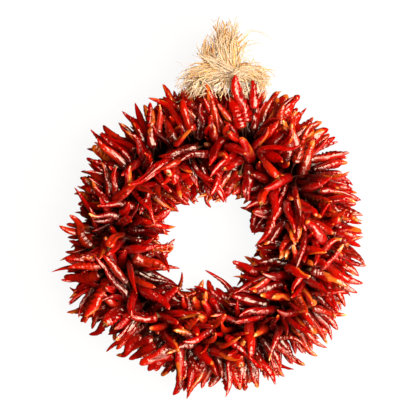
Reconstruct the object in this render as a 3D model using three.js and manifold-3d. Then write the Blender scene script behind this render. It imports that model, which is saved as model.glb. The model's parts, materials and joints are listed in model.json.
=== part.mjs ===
// Dried chilli wreath: a ring of small dried chillies, tied by their stems so that every tip points
// away from the middle of the ring's section, with a bow of loose raffia tied on at the top.
// Millimetres. The wreath lies on its flat back: +Z is the face that shows, +Y the top.
// The ring and the bow are bundles of many small things, so each is one solid out to its uneven outline.

import * as THREE from "three";
import { mergeVertices } from "three/addons/utils/BufferGeometryUtils.js";
import Module from "manifold-3d";

const wasm = await Module();
wasm.setup();

// Driving dimensions of the ring.
const HOOP_RADIUS = 110; // from the middle of the wreath to the middle of the ring's section
const HOOP_HEIGHT = 36; // of the middle of the section, above the flat back
const FLATTENED = 0.92; // the section's height as a share of its width
const BODY_REACH = 41; // from the middle of the section to the gaps between the pods
const BODY_UNEVEN = 2; // how much deeper or shallower the gaps are
const UNEVEN_PER_RING = 37; // steps in the unevenness from one ring of vertices to the next
const UNEVEN_PER_ZONE = 11; // and from one zone to the next
const BACK_HALF_WIDTH = 34; // of the flat back
const BACK_CELLS = 40; // facets round the flat back

// Driving dimensions of the pods that stand out of the ring.
const POD_REACH = 60; // where an average tip ends, from the middle of the section
const POD_REACH_SPREAD = 7; // how much further or shorter the other tips reach
const POD_WAIST = 0.55; // where a pod starts to taper, as a share of its length
const POD_WIDTH = 11; // there
const POD_WIDTH_SPREAD = 0.15; // how much wider or narrower the others are, as a share of it
const POD_FOOT_COVER = 0.8; // the most of its foot's width that a pod is wide
const POD_LEAN = 0.3; // how much neighbouring pods lean the same way, along the ring and across it
const LEAN_ALONG_WAVES = [5, 2]; // how often that changes round the wreath and round the section
const LEAN_ACROSS_WAVES = [8, -3];
const POD_STRAY = 2.2; // how far a tip strays from its place among them

// The rows of pods, from low on the outside, over the top, to low on the inside. from and to are
// angles round the ring's section in degrees, where 0 points away from the middle of the wreath.
const ZONES = [
  { from: -38, to: 42, steps: 5, cells: 56 },
  { from: 50, to: 126, steps: 5, cells: 40 },
  { from: 134, to: 218, steps: 5, cells: 26 },
];
const LOWEST_LEAN = 4; // the way in which the pods next to the back point, as such an angle
const BACK_CLEAR = 1; // how far every tip stays above the flat back

// Driving dimensions of the raffia bow, which is tied on just outside the tips.
const BOW_X = 26;
const BOW_Y = 190;
const BOW_HEIGHT = 54; // of its knot, above the flat back
const KNOT_RADIUS = 11;
const KNOT_SHAPE = [1.3, 0.9, 1]; // how much wider, shorter and thicker than a ball it is
const TIE_LENGTH = 44; // from the knot down between the pods
const TIE_RADIUS = [6, 7]; // at its two ends
const TIE_X = 25;
const TIE_BELOW_KNOT = 6; // how much closer to the flat back it lies
const BUNCH_SIDES = 8;
const BUNCH_ROOT = 0.01; // where a bunch leaves the knot, as a share of its length
const BUNCH_RAGGED = 4; // how much longer or shorter its strands end
const BOW_GAP = 0.4; // between the raffia and the chillies

const GOLDEN = 0.61803398875; // strides that never fall into step, for what has to look uneven
const PLASTIC = 0.7548776662;
const SUPER = 0.5698402909;

const radians = THREE.MathUtils.degToRad;
const wave = ([perRound, perSection], round, section) => Math.sin(perRound * round + perSection * section);
const share = (index, stride) => (index * stride) % 1; // evenly spread over 0 to 1, in no visible order
const either = (index, stride) => 2 * share(index, stride) - 1; // the same, over -1 to 1

// A closed three.js geometry as a manifold-3d solid.
function solidOf(geometry) {
  const bare = geometry.clone();
  bare.deleteAttribute("normal");
  bare.deleteAttribute("uv");
  const merged = mergeVertices(bare, 1e-3);
  return new wasm.Manifold(
    new wasm.Mesh({
      numProp: 3,
      vertProperties: merged.attributes.position.array,
      triVerts: new Uint32Array(merged.index.array),
    }),
  );
}

// A manifold-3d solid as a named mesh.
function meshOf(name, solid, material) {
  const made = solid.getMesh();
  const geometry = new THREE.BufferGeometry()
    .setAttribute("position", new THREE.BufferAttribute(made.vertProperties, 3))
    .setIndex(new THREE.BufferAttribute(made.triVerts, 1));
  geometry.computeVertexNormals();
  const mesh = new THREE.Mesh(geometry, material);
  mesh.name = name;
  return mesh;
}

// A round body along +Z from a profile of [radius, distance] pairs, which starts and ends on the axis.
function turned(profile, sides) {
  const points = profile.map(([radius, along]) => new THREE.Vector2(radius, along));
  return new THREE.LatheGeometry(points, sides).rotateX(Math.PI / 2);
}

// A point of the ring's surface. round and section are in radians, and reach is its distance from
// the middle of the section.
function ringPoint(round, section, reach) {
  const out = HOOP_RADIUS + reach * Math.cos(section);
  const up = HOOP_HEIGHT + FLATTENED * reach * Math.sin(section);
  return new THREE.Vector3(out * Math.cos(round), out * Math.sin(round), up);
}

// The chillies as one closed surface: rings of vertices round the wreath, with a pod standing on
// each diamond of four vertices, and a flat back.
function chillies() {
  const points = [];
  const faces = [];
  const add = (point) => points.push(point) - 1;

  const ring = (section, cells, offset, reach) =>
    Array.from({ length: cells }, (_, k) => ({
      at: (k + offset) / cells,
      vertex: add(ringPoint((2 * Math.PI * (k + offset)) / cells, section, reach(k))),
    }));

  // A pod on the four corners of its diamond, which go round it anticlockwise seen from outside.
  let podCount = 0;
  const pod = (corners, round, section) => {
    podCount += 1;
    const foot = corners.reduce((sum, c) => sum.add(points[c]), new THREE.Vector3()).divideScalar(4);
    const way = ringPoint(round, section, 2).sub(ringPoint(round, section, 1));
    const along = new THREE.Vector3(-Math.sin(round), Math.cos(round), 0);
    const across = new THREE.Vector3().crossVectors(way, along);
    way.addScaledVector(along, POD_LEAN * wave(LEAN_ALONG_WAVES, round, section));
    way.addScaledVector(across, POD_LEAN * wave(LEAN_ACROSS_WAVES, round, section));
    const length = POD_REACH - BODY_REACH + POD_REACH_SPREAD * either(podCount, PLASTIC);
    const tip = foot.clone().addScaledVector(way, length);
    tip.addScaledVector(along, POD_STRAY * either(podCount, GOLDEN));
    tip.addScaledVector(across, POD_STRAY * either(podCount, SUPER));
    tip.z = Math.max(tip.z, BACK_CLEAR);
    const half = (POD_WIDTH / 2) * (1 + POD_WIDTH_SPREAD * either(podCount, SUPER));
    const waist = corners.map((c) => {
      const out = points[c].clone().sub(foot);
      out.setLength(Math.min(half, POD_FOOT_COVER * out.length()));
      out.add(foot).addScaledVector(way, POD_WAIST * length);
      out.z = Math.max(out.z, BACK_CLEAR / 2);
      return add(out);
    });
    const top = add(tip);
    corners.forEach((c, k) => {
      const next = (k + 1) % corners.length;
      faces.push([c, corners[next], waist[next]], [c, waist[next], waist[k]]);
      faces.push([waist[k], waist[next], top]);
    });
  };

  // Fills the strip between two rings, which may have different numbers of vertices, with a pod
  // wherever two triangles make a four-sided cell. Without a section, the strip stays flat.
  const zip = (below, above, section) => {
    const from = (rim, k) => rim[k % rim.length].vertex;
    const place = (rim, k) => rim[k % rim.length].at + Math.floor(k / rim.length);
    let i = 0;
    let j = 0;
    while (i < below.length || j < above.length) {
      const lead = place(above, j + 1) - place(below, i + 1);
      const both = i < below.length && j < above.length;
      const [a, b, c, d] = [from(below, i), from(below, i + 1), from(above, j + 1), from(above, j)];
      if (both && Math.abs(lead) < 0.5 / below.length) {
        if (section === undefined) faces.push([a, b, c], [a, c, d]);
        else pod([a, b, c, d], 2 * Math.PI * (place(below, i) + 0.5 / below.length), section);
        i += 1;
        j += 1;
      } else if (i < below.length && (lead > 0 || !both)) {
        faces.push([a, b, d]);
        i += 1;
      } else {
        faces.push([a, c, d]);
        j += 1;
      }
    }
  };

  let edge = null; // the last ring of the zone before
  let edgeAt = 0; // the angle where it lies
  let first = null;
  ZONES.forEach(({ from, to, steps, cells }, zone) => {
    const rings = [];
    for (let step = 0; step <= steps; step++) {
      const section = radians(THREE.MathUtils.lerp(from, to, step / steps));
      const skipped = UNEVEN_PER_RING * step + UNEVEN_PER_ZONE * zone;
      const uneven = (k) => BODY_REACH + BODY_UNEVEN * either(k + skipped, PLASTIC);
      rings.push(ring(section, cells, 0.5 * (step % 2), uneven));
    }
    const vertex = (step, k) => rings[step][(k + cells) % cells].vertex;
    for (let step = 0; step <= steps; step++) {
      const odd = step % 2;
      const section = radians(THREE.MathUtils.lerp(from, to, step / steps));
      for (let k = 0; k < cells; k++) {
        const [left, right] = [vertex(step, k), vertex(step, k + 1)];
        const beside = k + odd; // of the ring above or below, the vertex between left and right
        if (step === 0) faces.push([left, right, vertex(1, beside)]);
        else if (step === steps) faces.push([left, vertex(step - 1, beside), right]);
        else {
          const round = (2 * Math.PI * (k + 0.5 + 0.5 * odd)) / cells;
          pod([vertex(step - 1, beside), right, vertex(step + 1, beside), left], round, section);
        }
      }
    }
    if (edge) zip(edge, rings[0], radians((edgeAt + from) / 2));
    else first = rings[0];
    edge = rings[steps];
    edgeAt = to;
  });

  const flat = (side) =>
    Array.from({ length: BACK_CELLS }, (_, k) => {
      const round = (2 * Math.PI * k) / BACK_CELLS;
      const out = HOOP_RADIUS + side * BACK_HALF_WIDTH;
      return {
        at: k / BACK_CELLS,
        vertex: add(new THREE.Vector3(out * Math.cos(round), out * Math.sin(round), 0)),
      };
    });
  const [insideBack, outsideBack] = [flat(-1), flat(1)];
  zip(edge, insideBack, radians(180 - LOWEST_LEAN));
  zip(insideBack, outsideBack);
  zip(outsideBack, first, radians(LOWEST_LEAN));

  const geometry = new THREE.BufferGeometry().setFromPoints(points).setIndex(faces.flat());
  return solidOf(geometry);
}

// The bow's bunches of strands, as [turn from +X, length, width, thickness, rise of its cut end].
// A fan stands up from the knot, a wing lies to each side, and short ends hang over the chillies.
const BUNCHES = [
  [114, 50, 20, 12, -12],
  [98, 57, 22, 14, -8],
  [82, 57, 22, 14, -10],
  [67, 50, 19, 12, -13],
  [165, 60, 22, 13, -8],
  [183, 66, 24, 14, -4],
  [204, 62, 20, 12, 8],
  [16, 44, 19, 12, -8],
  [-4, 48, 21, 13, 0],
  [-26, 44, 18, 11, 12],
  [228, 42, 13, 9, 24],
  [262, 38, 13, 9, 27],
  [301, 40, 13, 9, 25],
];

// Half the width of a bunch at shares of its length, as [share of the width, share of the length].
const BUNCH_PROFILE = [
  [0, 0],
  [0.3, BUNCH_ROOT],
  [0.42, 0.5],
  [0.5, 0.84],
  [0.44, 1],
  [0, 0.94],
];
const BUNCH_RIM = 0.9; // the share of the length from which a bunch is ragged

// A flattened bunch of strands that spreads from the knot to an uneven cut end.
function bunch([turnFromX, length, width, thickness, rise], index) {
  const profile = BUNCH_PROFILE.map(([radius, along]) => [radius, along * length]);
  const geometry = turned(profile, BUNCH_SIDES);
  const place = geometry.attributes.position;
  for (let i = 0; i < place.count; i++) {
    const [x, y, z] = [place.getX(i), place.getY(i), place.getZ(i)];
    const along = z / length;
    const side = Math.round((Math.atan2(y, x) * BUNCH_SIDES) / (2 * Math.PI) + BUNCH_SIDES);
    const onRim = along > BUNCH_RIM && Math.hypot(x, y) > BUNCH_ROOT;
    const ragged = onRim ? BUNCH_RAGGED * either((side % BUNCH_SIDES) + 3 * index, GOLDEN) : 0;
    place.setXYZ(i, -x * thickness - rise * along * along, y * width, z + ragged);
  }
  geometry.index.array.reverse(); // because x is mirrored above
  geometry.rotateY(Math.PI / 2).rotateZ(radians(turnFromX));
  geometry.translate(BOW_X, BOW_Y, BOW_HEIGHT);
  return solidOf(geometry);
}

// The solid with a thin skin of air: itself, and itself moved towards each corner of a tetrahedron.
function withClearance(solid) {
  const corners = [[1, 1, 1], [1, -1, -1], [-1, 1, -1], [-1, -1, 1]];
  const moved = corners.map((corner) => solid.translate(corner.map((c) => c * BOW_GAP)));
  return wasm.Manifold.union([solid, ...moved]);
}

// The knot, the tie that goes down between the pods, and the bunches.
function raffia() {
  const knot = new THREE.SphereGeometry(KNOT_RADIUS, 12, 8).scale(...KNOT_SHAPE);
  knot.translate(BOW_X, BOW_Y, BOW_HEIGHT);
  const tie = new THREE.CylinderGeometry(...TIE_RADIUS, TIE_LENGTH, BUNCH_SIDES);
  tie.translate(TIE_X, BOW_Y - TIE_LENGTH / 2, BOW_HEIGHT - TIE_BELOW_KNOT);
  return wasm.Manifold.union([solidOf(knot), solidOf(tie), ...BUNCHES.map(bunch)]);
}

// The bow cut free of the chillies, without the crumbs that the cut leaves between the pods.
function bowOn(ring) {
  const pieces = raffia().subtract(withClearance(ring)).decompose();
  return pieces.reduce((largest, piece) => (piece.volume() > largest.volume() ? piece : largest));
}

const chilliSkin = new THREE.MeshStandardMaterial({ color: 0x9a0d08, roughness: 0.35, metalness: 0 });
const raffiaStraw = new THREE.MeshStandardMaterial({ color: 0xdfb878, roughness: 0.8, metalness: 0 });

const wreath = new THREE.Group();
const ring = chillies();
wreath.add(meshOf("chilli_ring", ring, chilliSkin));
wreath.add(meshOf("raffia_bow", bowOn(ring), raffiaStraw));

// The origin is under the middle of the object's box, on the surface that the back lies on.
const box = new THREE.Box3().setFromObject(wreath);
const middle = box.getCenter(new THREE.Vector3());
wreath.position.set(-middle.x, -middle.y, -box.min.z);

export default wreath;
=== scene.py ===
"""Looks of a dried chilli wreath that lies on its back.

Several hundred dried chillies are tied by their stems in a ring, so that their tips point out of it
on all sides, and a bow of loose raffia is tied on at the top. Lengths are in metres, except in tables
and in names that end in _MM, where they are in millimetres. Turns round the wreath are measured from +X,
anticlockwise as the camera sees it. Whatever is random comes from one seeded generator.
"""

import json
import math
from collections import namedtuple

import bpy
import numpy as np
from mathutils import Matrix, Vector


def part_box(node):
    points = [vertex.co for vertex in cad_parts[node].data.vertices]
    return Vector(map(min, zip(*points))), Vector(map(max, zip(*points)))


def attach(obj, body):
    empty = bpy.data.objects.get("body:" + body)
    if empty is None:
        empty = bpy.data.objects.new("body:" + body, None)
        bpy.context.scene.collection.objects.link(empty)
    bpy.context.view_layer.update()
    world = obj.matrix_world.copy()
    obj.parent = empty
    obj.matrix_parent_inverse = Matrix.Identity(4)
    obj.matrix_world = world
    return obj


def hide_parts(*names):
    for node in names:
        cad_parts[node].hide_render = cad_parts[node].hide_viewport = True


MM = 0.001
TURN = 2 * math.pi
# Multiples of these two, taken together, spread evenly over a unit square.
STRIDE_ROUND, STRIDE_ACROSS = 0.7548776662, 0.5698402909

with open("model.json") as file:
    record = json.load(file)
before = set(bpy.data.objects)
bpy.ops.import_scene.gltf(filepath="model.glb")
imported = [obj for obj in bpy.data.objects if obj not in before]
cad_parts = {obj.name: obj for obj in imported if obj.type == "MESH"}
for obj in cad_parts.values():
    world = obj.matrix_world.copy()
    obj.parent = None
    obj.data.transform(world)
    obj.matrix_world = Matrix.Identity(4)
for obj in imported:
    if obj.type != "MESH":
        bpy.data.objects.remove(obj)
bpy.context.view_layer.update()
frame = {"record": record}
rng = np.random.default_rng(12)


def mount_point(name):
    """Where one of the record's mounts lies."""
    return np.array(next(m["pos_m"] for m in frame["record"]["mounts"] if m["name"] == name))


# The hoop is the circle along which the middle of the ring's section runs.
LEFT, RIGHT = mount_point("back_left"), mount_point("back_right")
HOOP_RADIUS = np.linalg.norm(RIGHT - LEFT) / 2
RING_LOW, RING_HIGH = (np.array(corner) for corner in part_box("chilli_ring"))
HOOP_HEIGHT = 0.37 * RING_HIGH[2]
HOOP = np.array([*((LEFT + RIGHT) / 2)[:2], HOOP_HEIGHT])
X_AXIS, _, UP = np.eye(3)
TABLE_GAP = 0.3 * MM  # the least height of a chilli's or a stem's points


# ---- small helpers


def unit(vectors):
    """The same directions, with length 1."""
    return vectors / np.maximum(np.linalg.norm(vectors, axis=-1, keepdims=True), 1e-9)


def limit(value):
    """The value, kept between 0 and 1."""
    return np.clip(value, 0, 1)


def smooth(low, high, value):
    """0 below low, 1 above high, and a soft step between them."""
    t = limit((value - low) / (high - low))
    return t * t * (3 - 2 * t)


def bump_at(angle, middle, width):
    """1 at the angle middle and 0 further than width from it, all in degrees."""
    away = np.abs((angle - middle + 180) % 360 - 180)
    return 1 - smooth(0, width, away)


def round_axes(turn):
    """Unit vectors out of the ring and along it, at a turn in radians."""
    x, y, zero = np.cos(turn), np.sin(turn), np.zeros_like(turn)
    return np.stack([x, y, zero], -1), np.stack([-y, x, zero], -1)


def rotated(x, y, angle):
    """x and y after a turn by the angle, in radians."""
    return x * np.cos(angle) - y * np.sin(angle), x * np.sin(angle) + y * np.cos(angle)


def turns(count):
    """Angles that divide a full circle evenly."""
    return TURN * np.arange(count) / count


def in_scene(name, data):
    """A new object in the scene, with this mesh, lamp or camera."""
    item = bpy.data.objects.new(name, data)
    bpy.context.scene.collection.objects.link(item)
    return item


def new_object(name, points, faces):
    """A smooth shaded mesh in the scene."""
    mesh = bpy.data.meshes.new(name)
    mesh.from_pydata(points.reshape(-1, 3).tolist(), [], faces)
    mesh.polygons.foreach_set("use_smooth", np.ones(len(mesh.polygons), bool))
    return in_scene(name, mesh)


def tube_faces(tubes, rings, sides):
    """Faces of closed tubes, their points in the order tube, ring, side: walls, then ends."""
    ring, side = np.indices((rings - 1, sides))
    here = ring * sides + side
    beside = ring * sides + (side + 1) % sides
    wall = np.stack([here, beside, beside + sides, here + sides], -1).reshape(-1, 4)
    first = np.arange(tubes)[:, None] * rings * sides
    walls = (wall + first[..., None]).reshape(-1, 4)
    low_end = np.arange(sides)[::-1] + first
    high_end = np.arange(sides) + first + (rings - 1) * sides
    return walls.tolist() + low_end.tolist() + high_end.tolist()


def tube_map(tubes, rings, sides):
    """A place on the map for each face corner of tube_faces, with a grid cell for each tube."""
    gap = 0.06  # round the walls in a cell, where the two ends go
    across = math.ceil(math.sqrt(tubes))
    cell = np.stack([np.arange(tubes) % across, np.arange(tubes) // across], -1)
    ring, side = np.indices((rings - 1, sides))
    u = np.stack([side, side + 1, side + 1, side], -1) / sides
    v = np.stack([ring, ring, ring + 1, ring + 1], -1) / (rings - 1)
    wall = gap + (1 - 2 * gap) * np.stack([u, v], -1).reshape(-1, 2)
    spot = gap / 3 * np.stack([np.cos(turns(sides)), np.sin(turns(sides))], -1)
    low_end, high_end = [0.5, gap / 2] + spot[::-1], [0.5, 1 - gap / 2] + spot
    corners = [(part + cell[:, None]).reshape(-1, 2) for part in (wall, low_end, high_end)]
    return np.concatenate(corners) / across


def new_tubes(name, points):
    """A piece of closed tubes, with a map named OFBake to bake its looks on."""
    piece = new_object(name, points, tube_faces(*points.shape[:3]))
    layer = piece.data.uv_layers.new(name="OFBake")
    layer.data.foreach_set("uv", tube_map(*points.shape[:3]).astype(np.float32).ravel())
    return piece


def give(piece, name, values, kind="FLOAT", key="value"):
    """Puts a value on each point of a piece, for its material to read."""
    attribute = piece.data.attributes.new(name, kind, "POINT")
    attribute.data.foreach_set(key, values.astype(np.float32).ravel())


def give_own(piece, vectors):
    """Puts on each point its place in its own pod or strand, for noise."""
    give(piece, "own", vectors, "FLOAT_VECTOR", "vector")


# ---- the kinds of chilli

# Lengths and widths are ranges in millimetres. blunt is how much of the width is left near the tip,
# bend and hook are how far the middle and the tip leave the straight line, as shares of the length.
# folds and creases say how deep the long furrows and the cross wrinkles are, and fade is the share of
# the pods that may have an orange tip.
Kind = namedtuple("Kind", "length width blunt bend hook folds creases fade")
KINDS = {
    "chillies_slender": Kind((42, 58), (8.8, 11.2), 0.12, 0.08, 0.15, 0.26, 0.18, 0.42),
    "chillies_plump": Kind((38, 52), (12.0, 15.6), 0.24, 0.07, 0.1, 0.2, 0.17, 0.48),
    "chillies_curved": Kind((42, 58), (9.8, 12.8), 0.16, 0.14, 0.26, 0.24, 0.18, 0.48),
    "chillies_shrivelled": Kind((41, 56), (11.0, 14.4), 0.22, 0.11, 0.18, 0.42, 0.28, 0.46),
}
SLENDER, PLUMP, CURVED, SHRIVELLED = range(len(KINDS))
FRONT_PODS = 590
UNDER_PODS = 180
BACK_PODS = 150
POD_RINGS, POD_SIDES = 30, 16
PLAIN_RINGS, PLAIN_SIDES = 12, 12
STEM_RINGS, STEM_SIDES = 8, 6
FURROWS = 5
BLUNT_TIP = 0.25 * MM  # half the width of the very tip, which is never a bare point


class Pods:
    """The shapes of chillies, each along its own z axis from its stem end to its tip."""

    def __init__(self, kind_of):
        count = len(kind_of)
        kinds = list(KINDS.values())

        def of_kind(key):
            return np.array([getattr(kinds[k], key) for k in kind_of])

        def each(low, high, *size):
            return rng.uniform(low, high, (count, *size))

        self.length = rng.uniform(*of_kind("length").T) * MM
        self.half_width = rng.uniform(*of_kind("width").T) * MM / 2
        self.blunt = of_kind("blunt") * each(0.5, 1.6)
        self.bend = of_kind("bend") * each(0.3, 1.6) * rng.choice([-1, 1], count)
        self.hook = of_kind("hook") * each(0.0, 1.7) * np.sign(self.bend)
        self.sway = 0.035 * rng.normal(size=count)
        self.bend_way = each(0, TURN)
        self.folds = of_kind("folds") * each(0.5, 1.5)
        self.creases = of_kind("creases") * each(0.4, 1.7)
        self.flatness = each(0.68, 1.0)
        self.shoulder = each(0.1, 0.22)
        self.fullest = each(1.5, 3.6)
        self.tip_fade = np.where(rng.random(count) < of_kind("fade"), each(0.1, 0.4), 0.03)
        self.end_fade = np.where(rng.random(count) < 0.06, each(0.08, 0.2), 0.01)
        self.streak = np.where(rng.random(count) < 0.32, each(0.5, 0.95), 0.0)
        self.tone = limit(rng.normal(0.5, 0.3, count))
        self.phase = each(0, TURN, 8)
        furrows = [
            each(0, TURN, FURROWS), rng.normal(0, 0.7, (count, FURROWS)), each(0.28, 0.6, FURROWS),
            each(0.1, 1.0, FURROWS) ** 1.5, each(-0.3, 0.6, FURROWS)
        ]
        self.furrow_shapes = np.stack(furrows, 1)
        self.apart = each(0, 1, 3)

    def __len__(self):
        return len(self.length)

    def __getitem__(self, which):
        """The same shapes, only for the pods that which picks."""
        part = object.__new__(Pods)
        for key, value in vars(self).items():
            setattr(part, key, value[which])
        return part

    def centre_line(self, t):
        """Points of each pod's middle line, at the shares t of its length."""
        arc = 4 * t * (1 - t) * self.bend[:, None]
        tail = np.clip((t - 0.55) / 0.45, 0, None) ** 2 * self.hook[:, None]
        sway = np.sin(TURN * t) * self.sway[:, None]
        x, y = rotated(arc + tail, sway, self.bend_way[:, None])
        return np.stack([x, y, t + 0 * x], -1) * self.length[:, None, None]

    def radius(self, t):
        """Half the width at the shares t of the length."""
        into_shoulder = limit(t / self.shoulder[:, None])
        shoulder = 0.35 + 0.65 * np.sqrt(1 - (1 - into_shoulder) ** 2)
        taper = limit(1 - t ** self.fullest[:, None]) ** 0.9
        end = np.sqrt(limit(1 - limit((t - 0.9) / 0.1) ** 2))
        blunt = self.blunt[:, None]
        swell = 1 + 0.07 * np.sin(TURN * 1.4 * t + self.phase[:, :1])
        half_width = self.half_width[:, None] * shoulder * swell * ((1 - blunt) * taper + blunt * end)
        return np.maximum(half_width, BLUNT_TIP)

    def furrows(self, T, A):
        """How deep long furrows run, at shares T of the length and turns A round the pod."""
        deep = 0
        for k in range(FURROWS):
            at, drift, width, depth, start = self.furrow_shapes[:, :, k].T[..., None, None]
            away = (A - at - drift * T - 0.3 * np.sin(6 * T + at) + math.pi) % TURN - math.pi
            length = smooth(start, start + 0.15, T) * (1 - smooth(start + 0.5, start + 0.9, T))
            deep = deep + depth * length * np.exp(-((away / width) ** 2))
        return deep

    def wrinkles(self, T, A):
        """Cross wrinkles in patches, from 0 to 1."""
        p = self.phase[:, :, None, None]
        patch = limit(np.cos(A + p[:, 1]) * np.cos(3.5 * T + p[:, 2]) + 0.3)
        wave = np.sin(50 * T + 1.6 * np.sin(A + p[:, 3]) + 1.2 * np.sin(2 * A + p[:, 4]))
        return patch * (0.5 - 0.5 * wave)

    def dents(self, T, A):
        """Shallow dents all over, from -1 to 1."""
        p = self.phase[:, :, None, None]
        wide = np.sin(8 * T + p[:, 0] + 1.5 * np.sin(A + p[:, 4]))
        wide = wide * np.sin(2 * A + p[:, 1] + 2 * np.sin(5 * T + p[:, 3]))
        small = np.sin(19 * T + p[:, 2] + np.sin(2 * A + p[:, 6]))
        small = small * np.sin(3 * A + p[:, 7] + 3 * T)
        return 0.6 * wide + 0.4 * small

    def surface(self, rings, sides):
        """Points of the skin, and how deep in a fold each lies, up to 1."""
        t = ring_places(rings)
        turn = turns(sides)
        line = self.centre_line(t)
        ahead = unit(np.gradient(line, axis=1))
        side_x = unit(X_AXIS - ahead * ahead[..., :1])
        side_y = np.cross(ahead, side_x)
        T, A = t[None, :, None], turn[None, None, :]
        folds, creases = self.folds[:, None, None], self.creases[:, None, None]
        body = np.sin(math.pi * t)[None, :, None] ** 0.5
        fallen = body * (1.9 * folds * self.furrows(T, A) + 2 * creases * self.wrinkles(T, A))
        dented = body * (0.05 + 0.25 * folds) * self.dents(T, A)
        radius = self.radius(t)[..., None] * np.clip(1.06 - fallen - dented, 0.3, None)
        wide, thin = radius * np.cos(turn), radius * np.sin(turn) * self.flatness[:, None, None]
        x, y = rotated(wide, thin, self.phase[:, 5, None, None])
        points = line[:, :, None] + x[..., None] * side_x[:, :, None] + y[..., None] * side_y[:, :, None]
        return points, limit(fallen / 0.3)

    def faded(self, t, turn):
        """Where the red has faded to orange, from 0 to 1."""
        T, A = t[None, :, None], turn[None, None, :]
        tip, end = self.tip_fade[:, None, None], self.end_fade[:, None, None]
        p = self.phase[:, :, None, None]
        streak = limit(np.cos(A + p[:, 6] + 0.8 * np.sin(5 * T + p[:, 7])) - 0.6) * 2.5
        streak = streak * self.streak[:, None, None] * smooth(0.15, 0.4, T)
        return np.maximum(smooth(1 - tip, 1, T), np.maximum(1 - smooth(0, end, T), limit(streak)))


def ring_places(rings):
    """Shares of the length where the rings of points lie: closer together at both ends."""
    even = np.linspace(0, 1, rings)
    return even - 0.08 * np.sin(TURN * even)


# ---- where the chillies lie

# In every table of stretches, a row is the turn of the stretch's middle and its half width, both in
# degrees, and what it adds there. These say how much further the tips reach out of the ring, in
# millimetres, on its outside and in its hole.
OUTER_SWELL = [
    [50, 30, 16], [80, 24, 12], [12, 24, -6], [122, 20, -4], [168, 34, -15], [195, 20, 2],
    [236, 44, -30], [285, 30, 3], [330, 40, -5],
]
INNER_SWELL = [
    [16, 20, 4], [60, 20, -12], [90, 22, 5], [152, 26, -10], [188, 24, 4], [210, 16, -6],
    [240, 20, -18], [264, 18, 8], [294, 22, -10], [327, 18, 18], [348, 18, -8],
]
# How near to the wreath's middle and how far from it the settling chillies may reach, in plan.
HOLE_RADIUS_MM = 49
HOLE_SHAPE = [
    [0, 16, 5], [38, 22, 7], [60, 16, 12], [90, 14, -4], [106, 12, 7], [154, 24, 13], [213, 18, 6],
    [239, 16, 26], [258, 10, -8], [270, 12, -1], [286, 16, 18], [301, 12, 12], [316, 10, -8],
    [330, 14, -14], [347, 14, 6],
]
RIM_RADIUS_MM = 176
RIM_SHAPE = [
    [58, 44, 22], [95, 30, 14], [128, 16, 6], [150, 12, -5], [168, 28, -10], [240, 16, -16], [315, 14, 8],
]
# The share of their length by which the chillies are combed to one side.
OUTER_COMB = [[15, 45, -0.5], [335, 40, -0.3]]
INNER_COMB = [[226, 26, 1.1], [288, 42, -0.8], [318, 45, -0.5], [0, 40, -0.3]]
# Painted light and shade: how much brighter, or darker, the red of the chillies is made.
OUTER_PAINTED_LIGHT = [[268, 60, 0.35], [90, 34, 0.15], [225, 30, 0.1]]
INNER_PAINTED_LIGHT = [[20, 70, -0.45], [135, 40, 0.3], [270, 40, 0.2]]
# The share by which chillies are longer, and that of the outer ones with a streak.
LONGER = [[222, 60, 0.16]]
STREAKED = [[255, 60, 0.35]]
# Angles round the section, in degrees: two ranges, and those of chillies that point out and in.
FRONT_ARC, UNDER_ARC, BACK_ANGLES = (-34, 214), (0, 180), (-30, 210)
BACK_OUTWARDS = 0.66  # the share of the back chillies that point out of the ring
# The chillies under the others are shorter, and darker red as painted shade.
UNDER_LENGTH, UNDER_PAINTED_SHADE = 0.78, 0.7  # times those of the others
BUNCHES = 120
SEAT_REACH = 48 * MM  # how far from the hoop the chillies' middles lie, on average
BUNCH_REACH_MM = 45
STEM_REACH_MM = 31  # the furthest that a stem end is from the hoop, on average
STEM_PAST_HOOP_MM = 4  # the furthest that a stem end is on the other side of it
LAYER_REACHES_MM = [59, 47, 58]  # from the hoop to the tips in front, under these, and at the back
BACK_LAYER = 2
BACK_HEIGHT = 30 * MM  # of the circle that the back chillies point away from


def along_ring(stretches, turn):
    """What the stretches of a table add at each turn."""
    return sum(value * bump_at(np.degrees(turn), middle, width) for middle, width, value in stretches)


def even_seats(count, low, high):
    """Turns round the wreath and angles round its section, evenly spread in no visible order."""
    k = np.arange(count) + 0.5
    turn = TURN * ((k * STRIDE_ROUND) % 1)
    section = np.radians(np.linspace(low, high, 400))
    crowd = np.cumsum(HOOP_RADIUS + SEAT_REACH * np.cos(section))
    angle = np.interp((k * STRIDE_ACROSS) % 1, crowd / crowd[-1], section)
    return turn + rng.normal(0, 0.02, count), angle + rng.normal(0, 0.05, count)


def back_seats(count):
    """The same for the chillies that the wreath lies on."""
    k = np.arange(count) + 0.5
    outwards = (k * STRIDE_ACROSS) % 1 < BACK_OUTWARDS
    angle = np.where(outwards, *np.radians(BACK_ANGLES)) + rng.normal(0, 0.08, count)
    return TURN * ((k * STRIDE_ROUND) % 1), angle


def lean(turn, section):
    """How far pods lean along the ring and round its section. Those tied in one bunch lean alike."""
    bunch_turn, bunch_section = even_seats(BUNCHES, *FRONT_ARC)
    away_turn = (turn[:, None] - bunch_turn + math.pi) % TURN - math.pi
    away_section = (section[:, None] - bunch_section) * BUNCH_REACH_MM * MM
    bunch = ((away_turn * HOOP_RADIUS) ** 2 + away_section**2).argmin(1)
    facing = limit(np.sin(section)) ** 2
    shared = rng.normal(0, 1, (2, BUNCHES))[:, bunch] * (0.22 + 0.42 * facing)
    own = rng.normal(0, 1, (2, len(turn))) * (0.2 + 0.36 * facing)
    lean_along, lean_across = shared + own
    outwards = np.cos(section)
    lean_along += along_ring(OUTER_COMB, turn) * limit(outwards)
    lean_along += along_ring(INNER_COMB, turn) * limit(-outwards)
    return lean_along, lean_across - 0.6 * np.sin(2 * section)


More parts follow.
